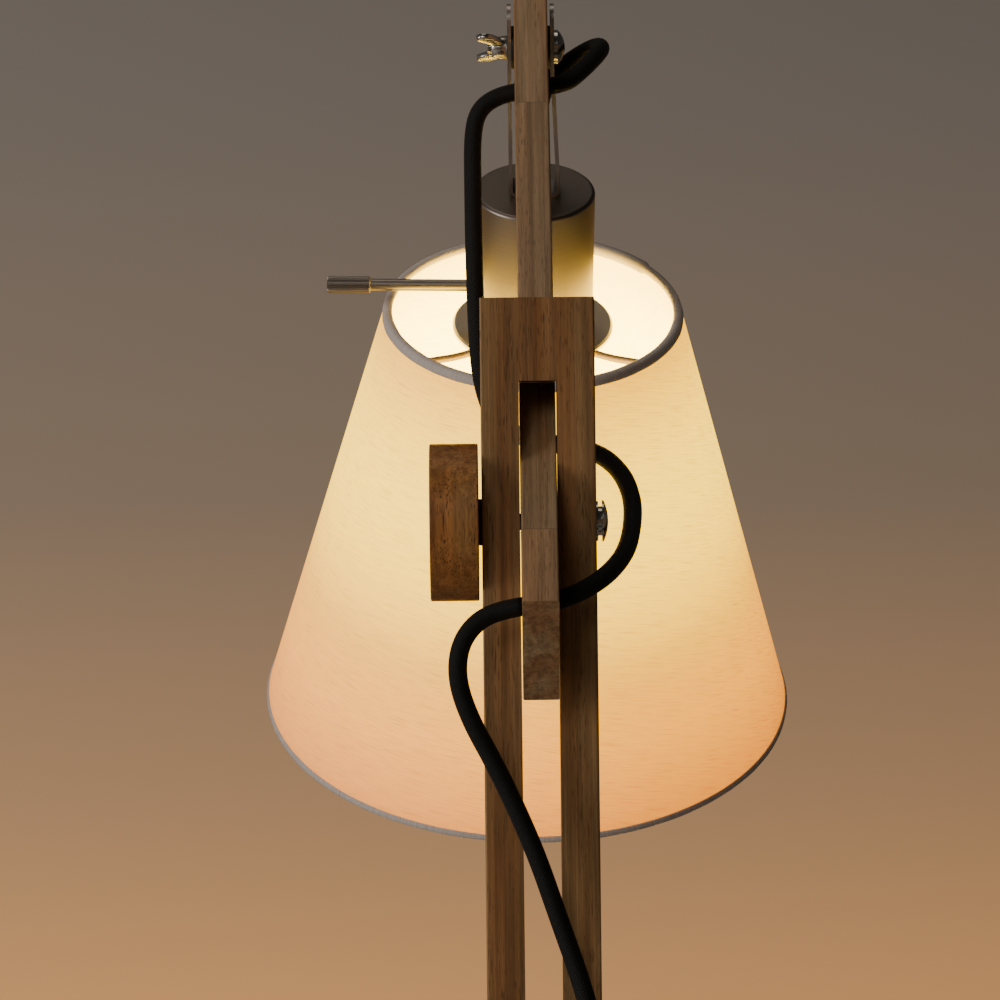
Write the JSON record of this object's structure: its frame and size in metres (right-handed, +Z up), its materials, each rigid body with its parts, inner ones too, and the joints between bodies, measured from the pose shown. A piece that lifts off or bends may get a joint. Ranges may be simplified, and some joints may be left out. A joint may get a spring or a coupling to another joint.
{
  "type": "adjustable arm floor lamp",
  "caption": "Timber floor lamp: twin-upright mast on a round base, tilting arm clamped in the slot, and a tilting head with a tapered fabric shade and braided cord.",
  "frame": {"origin": "centre of the base's underside, on the floor", "axes": "+Z up along the mast; the arm rises towards +Y; +X to the right seen from behind the mast"},
  "size_m": [0.32, 0.865, 1.4389],
  "materials": {
    "rubberwood": "oiled rubberwood, fine open grain",
    "brushed_steel": "satin brushed",
    "zinc": "bright zinc-plated fasteners",
    "steel_plate": "black powder coat",
    "black_plastic": "moulded, fine matt",
    "white_plastic": "moulded, smooth",
    "brass": "turned",
    "cord_braid": "black textile braid",
    "shade_cotton": "fine slub cotton",
    "shade_tape": "white bias tape",
    "white_wire": "white coated wire",
    "bulb_glass": "frosted",
    "felt": "pressed felt"
  },
  "bodies": {
    "mast": {"base_pad": "felt", "base_plate": "steel_plate", "base_disc": "rubberwood", "plate_screws": "zinc", "mast_screws": "zinc", "upright_left": "rubberwood", "upright_right": "rubberwood", "foot_spacer": "rubberwood", "top_spacer": "rubberwood", "mast_dowels": "rubberwood", "clamp_bolt": "zinc", "clamp_washer": "zinc", "clamp_spring_washer": "zinc", "knob_washer": "black_plastic", "cord_lower": "cord_braid", "cord_coil": "cord_braid", "cord_tail": "cord_braid", "cord_tie": "black_plastic", "plug_relief": "black_plastic", "plug_body": "black_plastic", "plug_pins": "zinc"},
    "knob": {"clamp_knob": "rubberwood", "knob_insert": "brass"},
    "arm": {"arm": "rubberwood", "cord_arm": "cord_braid"},
    "head": {"bracket": "brushed_steel", "head_washers": "black_plastic", "head_plain_washer": "zinc", "head_bolt": "zinc", "cord_grip": "black_plastic", "nipple": "zinc", "nipple_nut": "zinc", "cup": "brushed_steel", "shade_disc": "brushed_steel", "switch_body": "black_plastic", "lead_wires": "cord_braid", "lampholder": "white_plastic", "lampholder_sleeve": "brass", "lampholder_contact": "brass", "ring_nut": "white_plastic", "bulb_cap": "zinc", "bulb_glass": "bulb_glass", "shade_fabric": "shade_cotton", "shade_top_wire": "white_wire", "shade_bottom_wire": "white_wire", "shade_top_trim": "shade_tape", "shade_bottom_trim": "shade_tape", "spider": "white_wire", "cord_head": "cord_braid"},
    "wing_nut": {"wing_nut": "zinc"},
    "switch": {"switch_rod": "zinc", "switch_knurl": "zinc"}
  },
  "joints": [
    {"name": "knob_turn", "type": "hinge", "parent": "mast", "child": "knob", "pos_m": [0, 0, 1.1445], "axis": [-1, 0, 0], "range_deg": [0, 540]},
    {"name": "arm_tilt", "type": "hinge", "parent": "mast", "child": "arm", "pos_m": [0, 0, 1.1445], "axis": [1, 0, 0], "range_deg": [-45, 0], "deforming": ["cord_lower"]},
    {"name": "head_tilt", "type": "hinge", "parent": "arm", "child": "head", "pos_m": [0, 0.24254, 1.38704], "axis": [1, 0, 0], "range_deg": [-10, 60], "deforming": ["cord_head"]},
    {"name": "wing_nut_turn", "type": "hinge", "parent": "head", "child": "wing_nut", "pos_m": [0, 0.24254, 1.38704], "axis": [-1, 0, 0], "range_deg": [0, 540]},
    {"name": "switch_turn", "type": "hinge", "parent": "head", "child": "switch", "pos_m": [0.00045, 0.31678, 1.2673], "axis": [-0.9998, -0.0106, 0.0171], "continuous": true}
  ]
}
